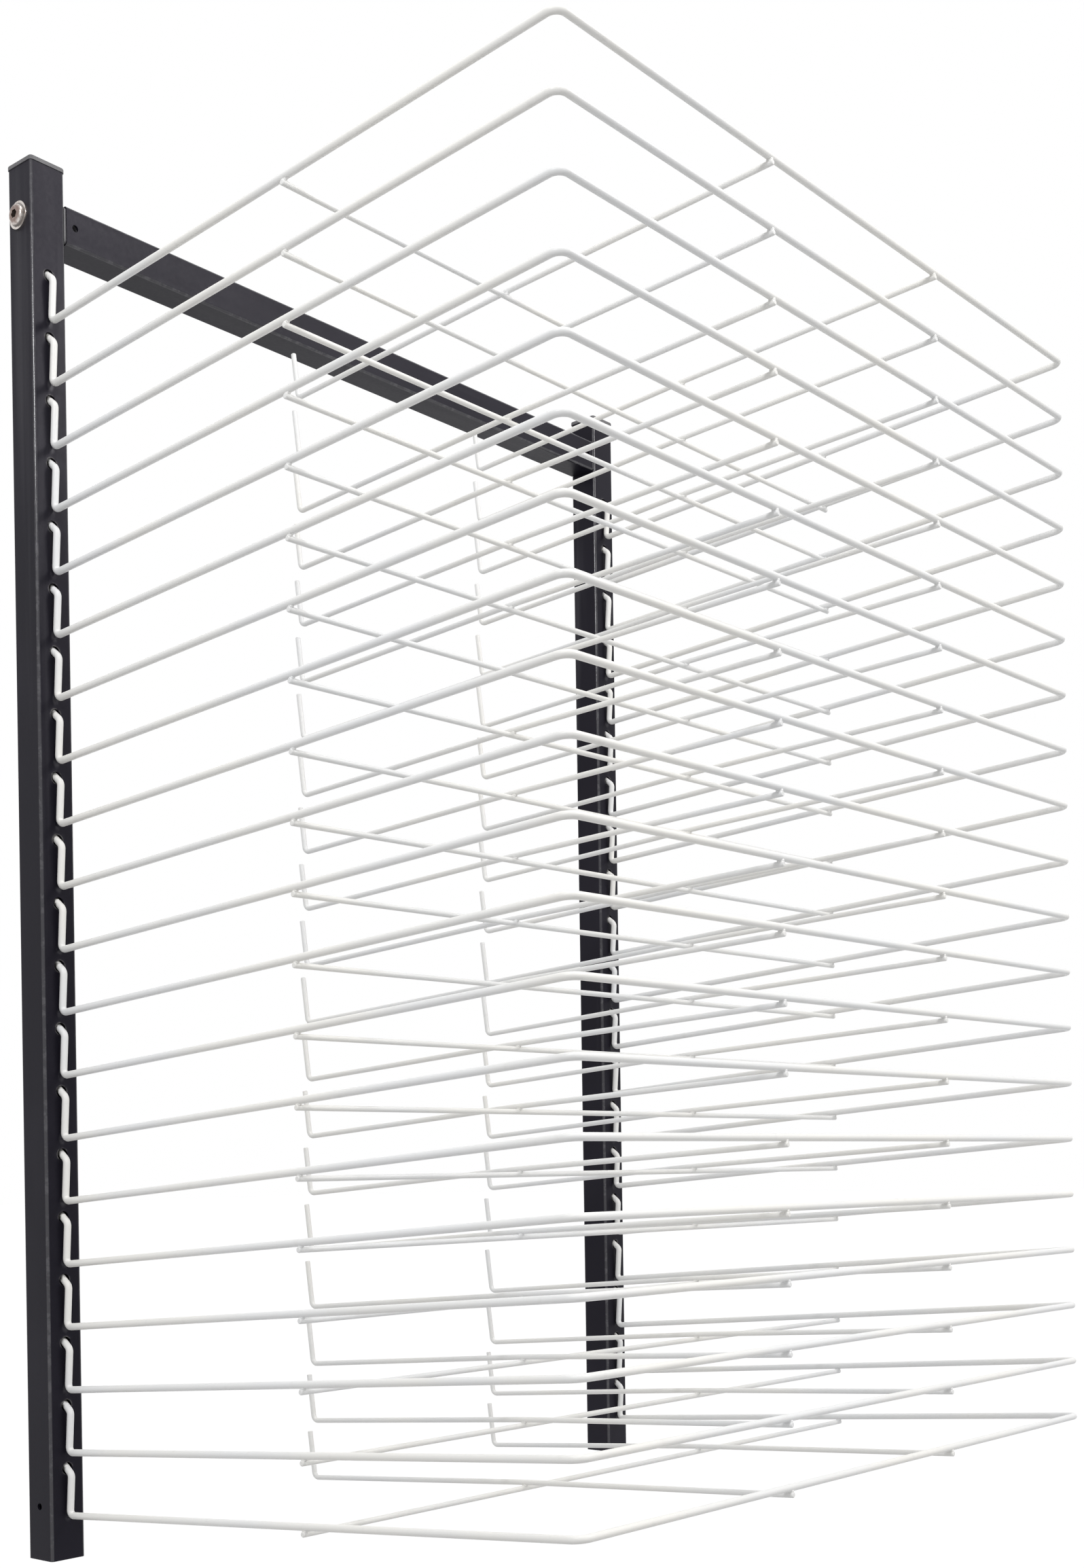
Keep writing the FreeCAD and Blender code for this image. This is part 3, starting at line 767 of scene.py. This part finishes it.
def makeFloor(s):
    mesh = bpy.data.meshes.new("floor")
    half = s["floorSize"] / 2
    corners = [(-half, -half), (half, -half), (half, half), (-half, half)]
    mesh.from_pydata([(x, y, s["floorHeight"]) for x, y in corners], [], [(0, 1, 2, 3)])
    floor = bpy.data.objects.new("floor", mesh)
    scene.collection.objects.link(floor)
    finish = Finish("floorPaint", {"Roughness": s["floorRoughness"],
                                   "Specular IOR Level": s["floorGloss"]})
    glow = finish.blend(finish.seen(), s["hiddenGlow"], (1.0, 1.0, 1.0))
    finish.use(Base_Color=s["floorColour"], Emission_Color=glow, Emission_Strength=s["floorGlow"])
    mesh.materials.append(finish.material)


def makeSky(s):
    # plain white where it is seen, and a dimmer gradient for the light it casts
    world = bpy.data.worlds.new("studio")
    world.use_nodes = True
    world.node_tree.nodes.clear()
    scene.world = world
    sky = Nodes(world.node_tree)
    view = sky.node("ShaderNodeTexCoord", {}, {}, "Generated")
    height = sky.node("ShaderNodeSeparateXYZ", {}, {0: view}, 2)
    light = sky.node("ShaderNodeMapRange", {"interpolation_type": "SMOOTHSTEP"},
                     {0: height, 1: s["skyFrom"], 2: s["skyTo"], 3: s["skyBottom"],
                      4: s["skyTop"]})
    strength = sky.node("ShaderNodeMix", {"data_type": "FLOAT"},
                        {0: sky.seen(), 2: light, 3: 1.0})
    glow = sky.node("ShaderNodeBackground", {},
                    {"Color": (1.0, 1.0, 1.0, 1.0), "Strength": strength})
    sky.add("ShaderNodeOutputWorld", {}, {"Surface": glow})


lamps = {
    # high on the right, where the front faces of the posts mirror it near their tops
    "key": {"place": (1.00, -1.95, 1.00), "aim": (-0.15, -0.15, -0.10), "size": 0.7,
            "power": 21.0, "colour": (1.0, 0.985, 0.965)},
    "overhead": {"place": (-0.6, -0.9, 1.4), "aim": (-0.10, -0.15, -0.20), "size": 0.9,
                 "power": 9.0, "colour": (1.0, 0.99, 0.975)},
    # draws the bright line down the near edge of the left post
    "side": {"place": (-1.35, -0.77, 0.42), "aim": (-0.25, -0.05, -0.15), "size": 0.22,
             "power": 6.5, "colour": (0.985, 0.99, 1.0)},
}


def makeLamp(name, s):
    light = bpy.data.lights.new(name, "AREA")
    light.shape = "SQUARE"
    light.size = s["size"]
    light.energy = s["power"]
    light.color = s["colour"]
    lamp = bpy.data.objects.new(name, light)
    lamp.location = s["place"]
    aim = Vector(s["aim"]) - Vector(s["place"])
    lamp.rotation_euler = aim.to_track_quat("-Z", "Y").to_euler()
    scene.collection.objects.link(lamp)


makeFloor(stage)
makeSky(stage)
for name, setup in lamps.items():
    makeLamp(name, setup)
print("stage and light done")
